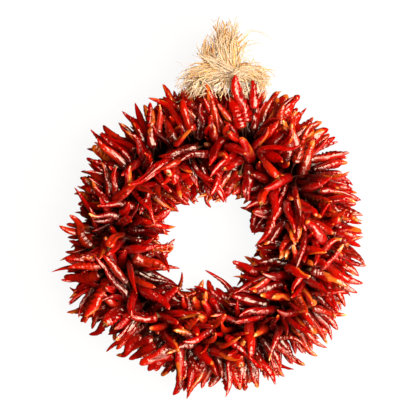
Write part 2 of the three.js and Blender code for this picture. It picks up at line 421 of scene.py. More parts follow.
def lay_pods(pods, turn, section, reach_mm, flat=False):
    """Stem ends and directions of the pods before they settle."""
    out, along = round_axes(turn)
    cos, sin = np.cos(section)[:, None], np.sin(section)[:, None]
    away = cos * out + sin * UP
    across = -sin * out + cos * UP
    facing = limit(sin) ** 2
    lean_along, lean_across = lean(turn, section)
    way = (1 - 0.1 * facing) * away + lean_along[:, None] * along + lean_across[:, None] * across
    middle = HOOP + HOOP_RADIUS * out
    if flat:
        way[:, 2] *= 0.5
        middle[:, 2] = BACK_HEIGHT
    way = unit(way)
    swell = along_ring(OUTER_SWELL, turn) * limit(cos[:, 0]) - 2 * facing[:, 0]
    swell += along_ring(INNER_SWELL, turn) * limit(-cos[:, 0])
    reach = (reach_mm + rng.normal(0, 5.5, len(pods)) + swell) * MM
    pods.length *= 1 - 0.35 * limit(-swell / 25)
    outwards = (way * away).sum(1)
    furthest = (STEM_REACH_MM + rng.normal(0, 3, len(pods))) * MM
    tied_at = np.clip(reach - outwards * pods.length, -STEM_PAST_HOOP_MM * MM, furthest)
    return middle + tied_at[:, None] * away, way


# Chillies that stand out: tip and stem end, in millimetres from the wreath's middle, kind, width, and
# the share of the length that has faded. Ends with only x and y are lifted to the reaches below.
TIP_REACH_MM, STEM_END_REACH_MM = 58, 38
LEAST_RISE_MM = 2
STANDING_OUT = [
    ((28, 186, 44), (38, 134, 26), PLUMP, 17, 0.03),
    ((75, 171), (54, 146), PLUMP, 13, 0.1),
    ((88, 166), (66, 142), PLUMP, 14, 0.2),
    ((101, 166), (76, 140), PLUMP, 15, 0.03),
    ((50, 181, 34), (48, 149, 30), PLUMP, 12, 0.03),
    ((-100, 124), (-70, 94), CURVED, 11, 0.5),
    ((-114, 83), (-110, 52), SLENDER, 9, 0.08),
    ((-98, 84), (-96, 54), SLENDER, 12, 0.08),
    ((-92, 54), (-45, 91), SHRIVELLED, 12, 0.04),
    ((-124, 30), (-87, 38), CURVED, 11, 0.1),
    ((-138, 31), (-105, 25), SLENDER, 9, 0.5),
    ((-139, 63), (-118, 40), SLENDER, 9, 0.5),
    ((-22, 44), (-36, 70), SLENDER, 10, 0.04),
    ((6, 44), (4, 74), PLUMP, 13, 0.04),
    ((1, 38), (-9, 66), SLENDER, 8, 0.04),
    ((18, 45), (20, 72), SLENDER, 9, 0.04),
    ((45, 9), (68, 22), SLENDER, 9, 0.04),
    ((48, -3), (72, 4), SLENDER, 9, 0.04),
    ((50, -13), (76, -6), SLENDER, 9, 0.3),
    ((22, -28), (54, -42), SHRIVELLED, 11, 0.04),
    ((24, -42), (60, -50), SLENDER, 8, 0.6),
    ((-10, -37), (26, -64), SLENDER, 9, 0.04),
    ((-14, -48), (10, -74), SLENDER, 9, 0.04),
    ((-26, -59), (-18, -92), SLENDER, 9, 0.04),
    ((-36, -35), (-42, -66), CURVED, 9, 0.04),
    ((-35, 33), (-68, 36), SLENDER, 9, 0.04),
    ((-177, -33), (-129, -25), SLENDER, 11, 0.04),
    ((-170, -38), (-127, -38), PLUMP, 13, 0.12),
    ((-163, -54), (-127, -53), SLENDER, 9, 0.04),
    ((-160, -70), (-141, -46), CURVED, 9, 0.5),
    ((-168, 7), (-134, 3), SLENDER, 10, 0.04),
    ((-165, -79), (-121, -73), SLENDER, 11, 0.04),
    ((-155, -91), (-114, -79), SLENDER, 11, 0.04),
    ((-139, 128), (-112, 106), SLENDER, 10, 0.04),
    ((-43, 15), (-78, 18), SLENDER, 9, 0.35),
    ((-41, 0), (-62, -24), SLENDER, 10, 0.05),
    ((-22, 127), (-42, 108), SLENDER, 9, 0.8),
    ((146, 0), (114, -12), SLENDER, 11, 0.4),
    ((147, -3), (122, -32), SLENDER, 10, 0.5),
    ((64, -7), (80, 38), CURVED, 12, 0.05),
    ((99, 14), (84, 46), CURVED, 12, 0.15),
    ((118, 26), (99, 45), PLUMP, 13, 0.08),
    ((92, 1), (85, 20), SLENDER, 10, 0.15),
    ((77, -15), (85, 6), SLENDER, 10, 0.12),
    ((112, -40), (84, -32), SLENDER, 11, 0.12),
    ((92, -60), (102, -38), SLENDER, 11, 0.12),
    ((173, 15), (138, 22), SHRIVELLED, 12, 0.7),
    ((172, -34), (138, -12), SLENDER, 10, 0.08),
    ((173, -13), (137, 8), SHRIVELLED, 11, 0.05),
    ((-132, -118), (-112, -88), CURVED, 11, 0.05),
    ((-120, -124), (-85, -96), SLENDER, 11, 0.04),
    ((-109, -131), (-79, -110), SLENDER, 11, 0.3),
    ((-97, -81), (-62, -85), SHRIVELLED, 17, 0.03),
    ((-72, -150), (-42, -128), PLUMP, 15, 0.03),
    ((-83, -136), (-44, -118), SHRIVELLED, 15, 0.03),
    ((-100, -134), (-66, -112), SHRIVELLED, 12, 0.03),
    ((-46, -132), (-20, -118), CURVED, 10, 0.7),
    ((-53, -160), (-34, -130), SHRIVELLED, 12, 0.5),
    ((-30, -178), (-31, -134), SHRIVELLED, 13, 0.03),
    ((-18, -180), (-8, -134), SHRIVELLED, 14, 0.03),
    ((-39, -96), (-12, -108), CURVED, 12, 0.85),
]


def raised(place, reach_mm):
    """A place of the table in the object's frame, lifted until it is reach_mm from the hoop."""
    if len(place) == 3:
        return HOOP + np.array(place) * MM
    aside = math.hypot(*place) - HOOP_RADIUS / MM
    rise = math.sqrt(max(reach_mm**2 - aside**2, LEAST_RISE_MM**2))
    return HOOP + np.array([*place, rise]) * MM


def lay_standing_out(pods):
    """Stem ends and directions of the chillies that stand out. Their shapes are made to fit."""
    tips, stem_ends, _, widths, fades = zip(*STANDING_OUT)
    tips = np.array([raised(place, TIP_REACH_MM) for place in tips])
    stem_ends = np.array([raised(place, STEM_END_REACH_MM) for place in stem_ends])
    pods.length[:] = np.linalg.norm(tips - stem_ends, axis=1)
    pods.half_width[:] = np.array(widths) * MM / 2
    pods.tip_fade[:] = fades
    pods.end_fade[:] = 0.01
    pods.tone[:] = 0.35 + 0.6 * pods.tone
    return stem_ends, unit(tips - stem_ends)


def turn_round(pods, stem_ends, ways, share):
    """Turns a few pods round, so that their stem ends show."""
    which = rng.random(len(pods)) < share
    stem_ends = np.where(which[:, None], stem_ends + ways * pods.length[:, None], stem_ends)
    return stem_ends, np.where(which[:, None], -ways, ways), which


# While the chillies settle, each is taken for a row of spheres.
SPHERES = 6
SPHERE_SIZE = 0.97  # as a share of the chilli's own thickness there
SETTLING_STEPS = 44
STEPS_BETWEEN_LOOKS = 6  # for spheres that are near each other
NEAR = 2.5 * MM  # the gap up to which two spheres count as near
PULL_HOME = 0.04  # the share of the way back to its first place that a chilli goes each step
PUSH_APART = 1.3
ROOM = 2.5 * MM  # by which spheres may leave the ring's box at its sides, but not at its top


def axes_along(way):
    """Three unit vectors for each direction, which is the last of them."""
    spin = rng.uniform(0, TURN, len(way))
    helper = np.where(np.abs(way[:, 2:]) < 0.9, UP, X_AXIS)
    x = unit(np.cross(helper, way))
    y = np.cross(way, x)
    c, s = np.cos(spin)[:, None], np.sin(spin)[:, None]
    return np.stack([c * x + s * y, c * y - s * x, way], -2)


def touching_pairs(centres, reach, owner):
    """Pairs of spheres of different pods whose centres are closer than their reaches' sum."""
    found = []
    block = 600
    for start in range(0, len(centres), block):
        part = centres[start : start + block]
        square = (part**2).sum(1)[:, None] + (centres**2).sum(1)[None] - 2 * part @ centres.T
        near = square < (reach[start : start + block, None] + reach[None]) ** 2
        a, b = np.nonzero(near)
        a += start
        keep = (a < b) & (owner[a] != owner[b])
        found.append(np.stack([a[keep], b[keep]]))
    return np.concatenate(found, 1)


def keep_to_ring(spheres, spare):
    """Moves places out of the hole and in from past the rim, in plan. spare is how far past these
    they may stay."""
    plan = spheres[:, :2] - HOOP[:2]
    away = np.linalg.norm(plan, axis=1)
    turn = np.arctan2(plan[:, 1], plan[:, 0])
    least = (HOLE_RADIUS_MM + along_ring(HOLE_SHAPE, turn)) * MM - spare
    most = (RIM_RADIUS_MM + along_ring(RIM_SHAPE, turn)) * MM + spare
    spheres[:, :2] = HOOP[:2] + plan * (np.clip(away, least, most) / away)[:, None]


def push_apart(spheres, reach, pairs):
    """The spheres again, with those that reach into each other moved apart."""
    a, b = pairs
    gap = spheres[b] - spheres[a]
    distance = np.linalg.norm(gap, axis=1)
    overlap = np.clip(reach[a] + reach[b] - distance, 0, None)
    push = 0.5 * overlap[:, None] * gap / np.maximum(distance, 1e-6)[:, None]
    moved = np.zeros_like(spheres)
    touched = np.full(len(spheres), 1e-9)
    for index, sign in ((a, -1), (b, 1)):
        for axis in range(3):
            moved[:, axis] += np.bincount(index, sign * push[:, axis], len(spheres))
        touched += np.bincount(index, overlap > 0, len(spheres))
    return spheres + PUSH_APART * moved / np.maximum(touched, 1)[:, None] ** 0.6


def best_axes(own, wanted):
    """The axes along which each pod's own points come closest to the wanted ones."""
    u, _, v = np.linalg.svd(np.einsum("psi,psj->pij", own, wanted))
    u[:, :, 2] *= np.sign(np.linalg.det(u @ v))[:, None]
    return u @ v


def in_place(local, origins, axes):
    """Points of each pod, given along its own axes, in the object's frame."""
    flat = local.reshape(len(local), -1, 3)
    return (origins[:, None] + np.einsum("pni,pij->pnj", flat, axes)).reshape(local.shape)


def settle(pods, stem_ends, ways, fixed):
    """Turns and moves the pods as stiff bodies until they hardly reach into each other."""
    t = (np.arange(SPHERES) + 0.5) / SPHERES
    reach = (pods.radius(t) * (0.5 + 0.5 * pods.flatness[:, None]) * SPHERE_SIZE).ravel()
    owner = np.repeat(np.arange(len(pods)), SPHERES)
    own = pods.centre_line(t)
    balance = own.mean(1, keepdims=True)
    own = own - balance
    axes = axes_along(ways)
    middle = stem_ends + np.einsum("pi,pij->pj", balance[:, 0], axes)
    home_middle, home_axes = middle, axes
    home = in_place(own, middle, axes)
    spare = np.repeat(rng.normal(-2, 2.5, len(pods)), SPHERES) * MM
    lowest = RING_LOW - ROOM * np.array([1, 1, 0]) + reach[:, None]
    highest = RING_HIGH + ROOM * np.array([1, 1, -1]) - reach[:, None]
    for step in range(SETTLING_STEPS):
        place = in_place(own, middle, axes)
        place += PULL_HOME * (home - place)
        spheres = place.reshape(-1, 3)
        if step % STEPS_BETWEEN_LOOKS == 0:
            pairs = touching_pairs(spheres, reach + NEAR, owner)
        spheres = push_apart(spheres, reach, pairs)
        spheres = np.clip(spheres, lowest, highest)
        keep_to_ring(spheres, spare)
        place = spheres.reshape(len(pods), SPHERES, 3)
        middle = place.mean(1)
        axes = best_axes(own, place - middle[:, None])
        middle[fixed], axes[fixed] = home_middle[fixed], home_axes[fixed]
    return middle - np.einsum("pi,pij->pj", balance[:, 0], axes), axes


# ---- pieces


def from_hoop(points):
    """How far points are from the circle of the hoop."""
    across = np.linalg.norm(points[..., :2] - HOOP[:2], axis=-1) - HOOP_RADIUS
    return np.hypot(across, points[..., 2] - HOOP[2])


# Painted shade: skin is darkened to full shade up to the first distance from the hoop, and has its full
# colour from the second.
PAINTED_SHADE_UP_TO, PAINTED_SHADE_ENDS_AT = 30 * MM, 58 * MM


def make_pods(name, pods, stem_ends, axes, rings, sides):
    """One piece with all the chillies of one kind."""
    points, depth = pods.surface(rings, sides)
    placed = in_place(points, stem_ends, axes)
    placed[..., 2] = np.maximum(placed[..., 2], TABLE_GAP)
    piece = new_tubes(name, placed)
    give(piece, "fade", pods.faded(ring_places(rings), turns(sides)))
    # depth also drives painted shade: the skin is darker the deeper it lies in a fold
    give(piece, "depth", depth)
    give(piece, "tone", np.broadcast_to(pods.tone[:, None, None], depth.shape))
    # open carries the painted shade near the hoop: 0 in full shade, 1 where the skin has its full colour
    give(piece, "open", smooth(PAINTED_SHADE_UP_TO, PAINTED_SHADE_ENDS_AT, from_hoop(placed)))
    give_own(piece, points + pods.apart[:, None, None])
    return piece


def sweep(lines, radii, sides, thin=1.0, roll=0.0):
    """Tubes round lines. thin is their thickness as a share of their width, and roll turns them."""
    ahead = unit(np.gradient(lines, axis=1))
    helper = np.where(np.abs(ahead[:, :1, 2:]) < 0.8, UP, X_AXIS)
    x = unit(np.cross(helper, ahead))
    y = np.cross(ahead, x)
    turn = turns(sides)
    wide, high = radii[..., None] * np.cos(turn), radii[..., None] * np.sin(turn) * thin
    across, over = rotated(wide, high, roll)
    return lines[:, :, None] + across[..., None] * x[:, :, None] + over[..., None] * y[:, :, None]


PALE_STEMS = 0.1  # the share of stems that are straw coloured, the rest being dark
SHORTEST_STEM, LONGEST_STEM = 4 * MM, 26 * MM
# Painted shade: straw coloured stems are darkened near the hoop, between these two distances from it.
STEM_SHADE_UP_TO, STEM_SHADE_ENDS_AT = 26 * MM, 56 * MM  # the same for the straw colour of stems
CAP_SHARE = 0.25  # of its length, over which it narrows from the cap


def make_stems(name, pods, stem_ends, axes, reversed_pods):
    """The cap and the thin stem of each pod. The stem runs to the hoop or ends in the air."""
    t = np.linspace(0, 1, STEM_RINGS)
    out = stem_ends - HOOP
    out[:, 2] = 0
    tie = HOOP + HOOP_RADIUS * unit(out)
    back = -axes[:, 2]
    aim = np.where(reversed_pods[:, None], back, unit(tie - stem_ends))
    in_the_air = rng.uniform(4, 9, len(pods)) * MM
    reach = np.where(reversed_pods, in_the_air, np.linalg.norm(tie - stem_ends, axis=1))
    length = np.clip(reach, SHORTEST_STEM, LONGEST_STEM)[:, None, None]
    curve = rng.normal(0, 0.16, (len(pods), 1, 3))
    start = stem_ends - back * pods.half_width[:, None] * 0.2
    T = t[None, :, None]
    lines = start[:, None] + length * (
        T * (1 - 0.5 * T) * back[:, None] + 0.5 * T**2 * aim[:, None] + curve * T**2
    )
    cap = pods.half_width[:, None] * 0.5
    stem = rng.uniform(0.45, 0.8, len(pods))[:, None] * MM
    radii = stem + (cap - stem) * limit(1 - t / CAP_SHARE) ** 0.8
    points = sweep(lines, radii, STEM_SIDES)
    points[..., 2] = np.maximum(points[..., 2], TABLE_GAP)
    piece = new_tubes(name, points)
    straw = reversed_pods | (rng.random(len(pods)) < PALE_STEMS)
    pale = np.where(straw, rng.uniform(0.3, 1, len(pods)), 0.0)
    # Painted shade: straw coloured stems turn dark near the hoop.
    give(piece, "pale", pale[:, None, None] * smooth(STEM_SHADE_UP_TO, STEM_SHADE_ENDS_AT, from_hoop(points)))
    return piece


CORE_RINGS, CORE_SIDES = 160, 28
CORE_RADIUS_MM, CORE_ROUGHNESS_MM = 22, 1.8
# The tangle is straw coloured up to the first height above the floor, and nearly black from the second,
# which is painted shade between the chillies.
STRAW_UP_TO, TANGLE_SHADE_FROM = 14 * MM, 26 * MM


def make_core():
    """The tangle of stems round the hoop."""
    A, S = np.meshgrid(turns(CORE_RINGS), turns(CORE_SIDES), indexing="ij")
    rough = 0.5 * np.sin(31 * A + 3 * S) + 0.5 * np.sin(53 * A - 5 * S + 1)
    rough = rough + 0.6 * np.sin(9 * S + 2 * np.sin(17 * A))
    reach = (CORE_RADIUS_MM + CORE_ROUGHNESS_MM * rough) * MM
    out, _ = round_axes(A)
    aside, rise = reach * np.cos(S), reach * np.sin(S)
    points = HOOP + out * (HOOP_RADIUS + aside)[..., None] + rise[..., None] * UP
    here = np.arange(A.size).reshape(A.shape)
    ahead = np.roll(here, -1, 0)
    faces = np.stack([here, ahead, np.roll(ahead, -1, 1), np.roll(here, -1, 1)], -1)
    piece = new_object("stem_tangle", points, faces.reshape(-1, 4).tolist())
    give(piece, "low", 1 - smooth(STRAW_UP_TO, TANGLE_SHADE_FROM, points[..., 2]))
    return piece


# ---- raffia

KNOT = HOOP + np.array([27, 190, 18]) * MM
STRAND_RINGS, STRAND_SIDES = 17, 4
THICKNESS = 0.35  # of a strand, as a share of its width
FINE_MM, BROAD_MM = (0.35, 0.85), (1.2, 2.4)  # half the widths of the strands, from and to
BROAD_STRANDS = 0.28  # the share of the dense strands that are broad and lie lower
GROUP_WIDTH = [1.0, 1.0, 1.3, 0.7]  # for each table below, times the widths above

# Each sheaf of strands: how many, how far they part at their ends, and the points that guide them, all
# in millimetres from the knot.
DENSE = [
    # The brush that stands up from the knot, and the wings to its left and right.
    (320, (11, 7, 6), [(0, 0, 0), (-11, 18, 3), (-12, 36, 3), (-10, 51, 0)]),
    (250, (10, 12, 6), [(0, 0, 2), (-18, 4, 5), (-38, -1, 3), (-55, -11, 0)]),
    (160, (6, 10, 6), [(0, 0, 2), (11, 4, 5), (24, -1, 3), (36, -9, 0)]),
]
LOOSE = [
    # The strands that bulge out to the left of the brush.
    (110, (9, 6, 6), [(0, 0, 0), (-28, 4, 0), (-36, 20, 0), (-25, 38, -2)]),
    # Loops in both wings that come back to the knot.
    (7, (8, 8, 7), [(0, 0, 2), (-30, 14, 4), (-74, 13, 0), (-70, -38, 0), (-30, -12, 4), (-2, -6, 2)]),
    (5, (5, 6, 7), [(0, 0, 2), (14, 14, 4), (46, 10, 0), (42, -24, 0), (12, -8, 4)]),
    # What ties the bow: strands across the knot, and the ends that run down between the chillies.
    (34, (10, 5, 3), [(-3, 1, 8), (-15, 7, 12), (-27, 14, 11), (-37, 21, 8)]),
    (7, (8, 6, 2), [(-40, 21, 12), (-20, 11, 15), (0, -2, 14), (10, -6, 8)]),
    (20, (5, 5, 3), [(-17, -4, 5), (-7, -9, 16), (7, 2, 16), (12, 8, 4)]),
    (18, (3, 4, 3), [(0, 0, 0), (-1, -14, -8), (-2, -30, -14), (-3, -50, -16)]),
]
# The short stout ends that hang from both wings over the chillies, and single strands that stray.
HANGING = [
    (38, (16, 6, 3), [(-36, -7, 4), (-38, -13, 12), (-40, -19, 16), (-41, -27, 14)]),
    (34, (16, 6, 3), [(-10, -6, 6), (-12, -12, 14), (-14, -19, 17), (-15, -27, 15)]),
    (18, (12, 6, 3), [(22, -7, 5), (22, -13, 13), (23, -19, 16), (24, -27, 14)]),
    (16, (9, 6, 3), [(7, -6, 5), (8, -12, 13), (9, -18, 16), (9, -26, 14)]),
]
STRAYS = [
    (2, (2, 2, 3), [(0, 10, 2), (2, 44, 6), (16, 62, 4), (40, 40, 0)]),
    (3, (2, 4, 3), [(0, 6, 2), (3, 30, 5), (14, 38, 4), (30, 37, 0)]),
    (5, (3, 6, 4), [(0, 6, 2), (4, 22, 5), (10, 28, 4), (21, 29, 0)]),
    (2, (1, 2, 3), [(8, 14, 2), (24, 26, 6), (10, -2, 4), (14, 6, 0)]),
    (2, (1, 2, 2), [(14, 4, 2), (20, 26, 6), (26, 14, 4), (15, 2, 0)]),
    (6, (9, 3, 5), [(-8, 30, 2), (-12, 46, 4), (-13, 54, 2), (-14, 62, 0)]),
    (6, (9, 4, 4), [(-26, 4, 2), (-44, 8, 4), (-52, 8, 3), (-57, 17, 0)]),
    (5, (6, 3, 4), [(12, -2, 2), (26, 4, 4), (32, 0, 3), (38, 7, 0)]),
    (5, (6, 5, 4), [(-20, 0, 2), (-46, -6, 4), (-60, -12, 3), (-68, -15, 0)]),
]


def curve_through(guides, t):
    """Points at the shares t of smooth curves from the first to the last of their guides."""
    last = guides.shape[1] - 1
    weights = [math.comb(last, k) * t**k * (1 - t) ** (last - k) for k in range(last + 1)]
    return sum(weight[..., None] * guides[:, k, None] for k, weight in enumerate(weights))


def sheaf_lines(count, spread, guide):
    """Middle lines of the strands of one sheaf, in millimetres from the knot."""
    parting = 0.25 + 0.75 * np.linspace(0, 1, len(guide))[:, None] ** 0.5
    loose = rng.choice([0.4, 1.1], (count, 1, 1), p=[0.72, 0.28])
    aside = rng.uniform(-1, 1, (count, 1, 3)) + loose * rng.normal(0, 1, (count, len(guide), 3))
    guides = np.array(guide, float) + aside * parting * spread
    t = np.linspace(0, 1, STRAND_RINGS) * rng.uniform(0.78, 1.04, (count, 1))
    lines = curve_through(guides, t)
    for waves in (2.0, 4.5, 8.0):
        swing = rng.normal(0, 2.2 / waves, (count, 1, 3)) * t[..., None]
        lines = lines + swing * np.sin(TURN * (waves * t + rng.random((count, 1))))[..., None]
    return lines


def strands():
    """Middle lines, half widths and turns of all the strands, and which of them are broad."""
    groups = (DENSE, LOOSE, HANGING, STRAYS)
    lines = KNOT + MM * np.concatenate([sheaf_lines(*sheaf) for group in groups for sheaf in group])
    count = len(lines)
    group = np.repeat(range(len(groups)), [sum(sheaf[0] for sheaf in group) for group in groups])[:, None]
    t = np.linspace(0, 1, STRAND_RINGS)
    broad = (rng.random((count, 1)) < BROAD_STRANDS) & (group == 0)
    under = KNOT + 0.8 * (lines - KNOT) - UP * rng.uniform(4, 9, (count, 1, 1)) * MM
    lines = np.where(broad[..., None], under, lines)
    half_width = [rng.uniform(*BROAD_MM, (count, 1)), rng.uniform(*FINE_MM, (count, 1))]
    half_width = np.where(broad, *half_width) * MM
    half_width = np.choose(group, GROUP_WIDTH) * half_width * (1 - 0.6 * t**4)
    roll = rng.uniform(0, math.pi, (count, 1, 1)) + rng.normal(0, 1.2, (count, 1, 1)) * t[:, None]
    roll = np.where(broad[..., None], rng.normal(0, 0.3, (count, 1, 1)), roll)
    return lines, half_width, roll, broad


def make_raffia():
    """A bow of loose strands."""
    lines, half_width, roll, broad = strands()
    count = len(lines)
    points = sweep(lines, half_width, STRAND_SIDES, THICKNESS, roll)
    piece = new_tubes("raffia_strands", points)
    # Painted shade: strands that lie lower are given a lower tone, deeper golden, and the broad strands
    # under the rest lower still.
    tone = rng.normal(0.5, 0.4, count)[:, None, None] + (points[..., 2] - KNOT[2]) / (14 * MM)
    give(piece, "tone", np.clip(tone - 0.4 * broad[..., None], -0.2, 1.2))
    length = np.linalg.norm(np.diff(lines, axis=1), axis=-1).cumsum(1)
    along = np.concatenate([np.zeros((count, 1)), length], 1)[..., None]
    aside, over = (half_width[..., None] * of(turns(STRAND_SIDES)) for of in (np.cos, np.sin))
    own = np.stack(np.broadcast_arrays(aside, over, along), -1)
    give_own(piece, own + rng.random((count, 1, 1, 3)))
    return piece


# ---- materials


class Paint:
    """A new material. Its methods add nodes to it, and return the socket with their result."""

    def __init__(self, name):
        self.material = bpy.data.materials.new(name)
        self.material.use_nodes = True
        self.shader = self.material.node_tree.nodes["Principled BSDF"].inputs

    def put(self, value, socket):
        """Sets a socket to a number or a colour, or links a node's result to it."""
        if isinstance(value, (int, float)):
            socket.default_value = value
        elif isinstance(value, tuple):
            socket.default_value = (*value, 1)
        else:
            self.material.node_tree.links.new(value, socket)

    def finish(self, **values):
        """Puts values on the shader's sockets, and returns the material."""
        for name, value in values.items():
            self.put(value, self.shader[name.replace("_", " ")])
        return self.material

    def node(self, kind, **settings):
        node = self.material.node_tree.nodes.new("ShaderNode" + kind)
        for key, value in settings.items():
            setattr(node, key, value)
        return node

    def value_of(self, name):
        """The number that each point of the piece has under this name."""
        return self.node("Attribute", attribute_name=name).outputs["Fac"]

    def noise(self, scale, detail=3.0, own=None):
        """Noise over the object's frame or, stretched by own, over the places from give_own."""
        texture = self.node("TexNoise")
        self.put(scale, texture.inputs["Scale"])
        self.put(detail, texture.inputs["Detail"])
        if own is None:
            place = self.node("TexCoord").outputs["Object"]
        else:
            source = self.node("Attribute", attribute_name="own")
            stretch = self.node("VectorMath", operation="MULTIPLY")
            stretch.inputs[1].default_value = own
            self.put(source.outputs["Vector"], stretch.inputs[0])
            place = stretch.outputs["Vector"]
        self.put(place, texture.inputs["Vector"])
        return texture.outputs["Fac"]

    def mapped(self, value, low, high, to_low=0.0, to_high=1.0):
        """The value, taken softly from the range low to high to the range to_low to to_high."""
        node = self.node("MapRange", interpolation_type="SMOOTHSTEP")
        names = ("Value", "From Min", "From Max", "To Min", "To Max")
        for name, entry in zip(names, (value, low, high, to_low, to_high)):
            self.put(entry, node.inputs[name])
        return node.outputs["Result"]

    def maths(self, operation, *values):
        node = self.node("Math", operation=operation)
        for value, socket in zip(values, node.inputs):
            self.put(value, socket)
        return node.outputs["Value"]

    def mixed(self, share, a, b):
        """Colour a where the share is 0, and b where it is 1."""
        node = self.node("Mix", data_type="RGBA")
        for name, value in (("Factor", share), ("A", a), ("B", b)):
            self.put(value, node.inputs[name])
        return node.outputs["Result"]

    def ramp(self, value, stops):
        """The colour at a value, between the stops, each a value and its colour."""
        node = self.node("ValToRGB")
        elements = node.color_ramp.elements
        while len(elements) < len(stops):
            elements.new(0.5)
        for element, (place, colour) in zip(elements, stops):
            element.position = place
            element.color = (*colour, 1)
        self.put(value, node.inputs["Fac"])
        return node.outputs["Color"]

    def bump(self, height, distance):
        node = self.node("Bump")
        self.put(distance, node.inputs["Distance"])
        self.put(height, node.inputs["Height"])
        return node.outputs["Normal"]


DEEP_RED_TO_RED = [
    (0.0, (0.13, 0.0003, 0.0003)),
    (0.22, (0.32, 0.0005, 0.0003)),
    (0.6, (0.38, 0.0015, 0.0006)),
    (0.82, (0.4, 0.005, 0.0008)),
    (1.0, (0.4, 0.013, 0.0012)),
]
ORANGE, STRAW = (0.62, 0.11, 0.01), (0.8, 0.38, 0.1)
# Painted shade: the dark reds that the folds and the skin near the hoop go to.
FOLD_SHADE_RED, SHADE_RED = (0.03, 0.0004, 0.0004), (0.03, 0.0002, 0.0002)


def chilli_skin(name, gloss):
    """Dried skin: mottled red, orange where it has faded, with painted shade in its folds and near the
    hoop.
    """
    paint = Paint(name)
    patches = paint.noise(110, 3, own=(1, 1, 0.5))
    mottle = paint.noise(420, 4, own=(1, 1, 0.7))
    lines = paint.noise(270, 0.8, own=(1, 1, 0.25))
    tone = paint.maths("MULTIPLY_ADD", patches, 0.8, paint.value_of("tone"))
    skin = paint.ramp(paint.maths("SUBTRACT", tone, 0.4), DEEP_RED_TO_RED)
    fade = paint.maths("MULTIPLY_ADD", lines, 1.2, paint.value_of("fade"))
    warm = paint.mixed(paint.mapped(fade, 0.88, 1.3), skin, ORANGE)
    warm = paint.mixed(paint.mapped(fade, 1.5, 1.8), warm, STRAW)
    # Painted shade in the folds.
    fold_shaded = paint.mixed(paint.mapped(paint.value_of("depth"), 0.35, 1.0, 0.0, 0.6), warm, FOLD_SHADE_RED)
    rungs = paint.noise(270, 0.8, own=(0.4, 0.4, 1.4))
    rungs = paint.maths("MULTIPLY", rungs, paint.mapped(patches, 0.42, 0.6, 0.0, 2.6))
    normal = paint.bump(paint.maths("ADD", lines, rungs), 0.46 * MM)
    return paint.finish(
        # Painted shade: the colour goes to SHADE_RED near the hoop, where the chillies shade each other.
        Base_Color=paint.mixed(paint.value_of("open"), SHADE_RED, fold_shaded),
        Roughness=paint.mapped(mottle, 0.3, 0.7, 0.1, 0.2),
        IOR=1.75,
        Specular_IOR_Level=0.6 * gloss,
        Specular_Tint=(0.76, 0.67, 0.59),
        Coat_Weight=0.05 * gloss,
        Coat_Roughness=0.08,
        Coat_IOR=2.5,
        Normal=normal,
        Coat_Normal=normal,
    )


def stem_straw():
    """Thin stems, from straw colour to nearly black, with painted shade near the hoop."""
    paint = Paint("stem_straw")
    straw = paint.mixed(paint.noise(300), (0.07, 0.03, 0.01), (0.4, 0.24, 0.1))
    colour = paint.mixed(paint.value_of("pale"), (0.025, 0.003, 0.001), straw)
    return paint.finish(Base_Color=colour, Roughness=0.6, Specular_IOR_Level=0.1)


def tangle_of_stems():
    """Nearly black as painted shade between the chillies, and patches of straw colour underneath."""
    paint = Paint("stem_tangle")
    knots = paint.noise(200)
    # Painted shade: the near black of the tangle between the chillies.
    dark = paint.mixed(knots, (0.0005, 0.0002, 0.0002), (0.004, 0.0006, 0.0005))
    straw = paint.mixed(paint.mapped(knots, 0.35, 0.65), (0.02, 0.008, 0.004), (0.16, 0.085, 0.035))
    colour = paint.mixed(paint.value_of("low"), dark, straw)
    return paint.finish(Base_Color=colour, Roughness=1.0, Specular_IOR_Level=0.0)


# Lower tones, partly painted shade of the strands that lie lower, are deep golden, and higher tones
# cream.
SHADE_GOLD_TO_CREAM = [
    (0.0, (0.88, 0.37, 0.05)),
    (0.3, (0.82, 0.45, 0.13)),
    (0.6, (0.71, 0.52, 0.28)),
    (1.0, (0.63, 0.53, 0.42)),
]


def raffia_straw():
    """Dull, slightly translucent strands with fine fibres along them, deeper golden as painted shade
    where they lie lower.
    """
    paint = Paint("raffia_straw")
    fibres = paint.noise(2400, 2, own=(1, 1, 0.04))
    patches = paint.noise(130, 2, own=(1, 1, 1))
    tone = paint.maths("MULTIPLY_ADD", patches, 0.7, paint.value_of("tone"))
    straw = paint.ramp(paint.maths("SUBTRACT", tone, 0.35), SHADE_GOLD_TO_CREAM)
    colour = paint.mixed(paint.mapped(fibres, 0.35, 0.65, 0.25, 0.0), straw, (0.75, 0.43, 0.12))
    paint.shader["Subsurface Radius"].default_value = (1.0, 0.7, 0.35)
    return paint.finish(
        Base_Color=colour,
        Roughness=0.6,
        Specular_IOR_Level=0.2,
        Subsurface_Weight=0.4,
        Subsurface_Scale=0.3 * MM,
        Normal=paint.bump(fibres, 0.08 * MM),
    )


# ---- light, floor and camera

FLOOR_SIDE = 4.0  # half of it
WORLD_COLOUR, WORLD_STRENGTH = (1, 0.55, 0.25, 1), 0.04
WARM_WHITE, AMBER = (1, 0.88, 0.74), (1, 0.6, 0.28)
# Name, place, size, watts and colour of each lamp, and whether gloss shows it.
LAMPS = [
    ("key", (0.66, -0.06, 1.15), 1.35, 56, WARM_WHITE, True),
    ("side", (0.5, -1.2, 0.8), 1.3, 13, WARM_WHITE, True),
    ("fill", (-1.0, 0.7, 0.8), 0.3, 6, AMBER, False),
]
VIEW_WIDTH = 0.483  # at the hoop's level
CAMERA_HEIGHT = 2.0
SENSOR_MM = 36
VIEW_MIDDLE_MM = (-2.3, 34.5)  # from the wreath's middle


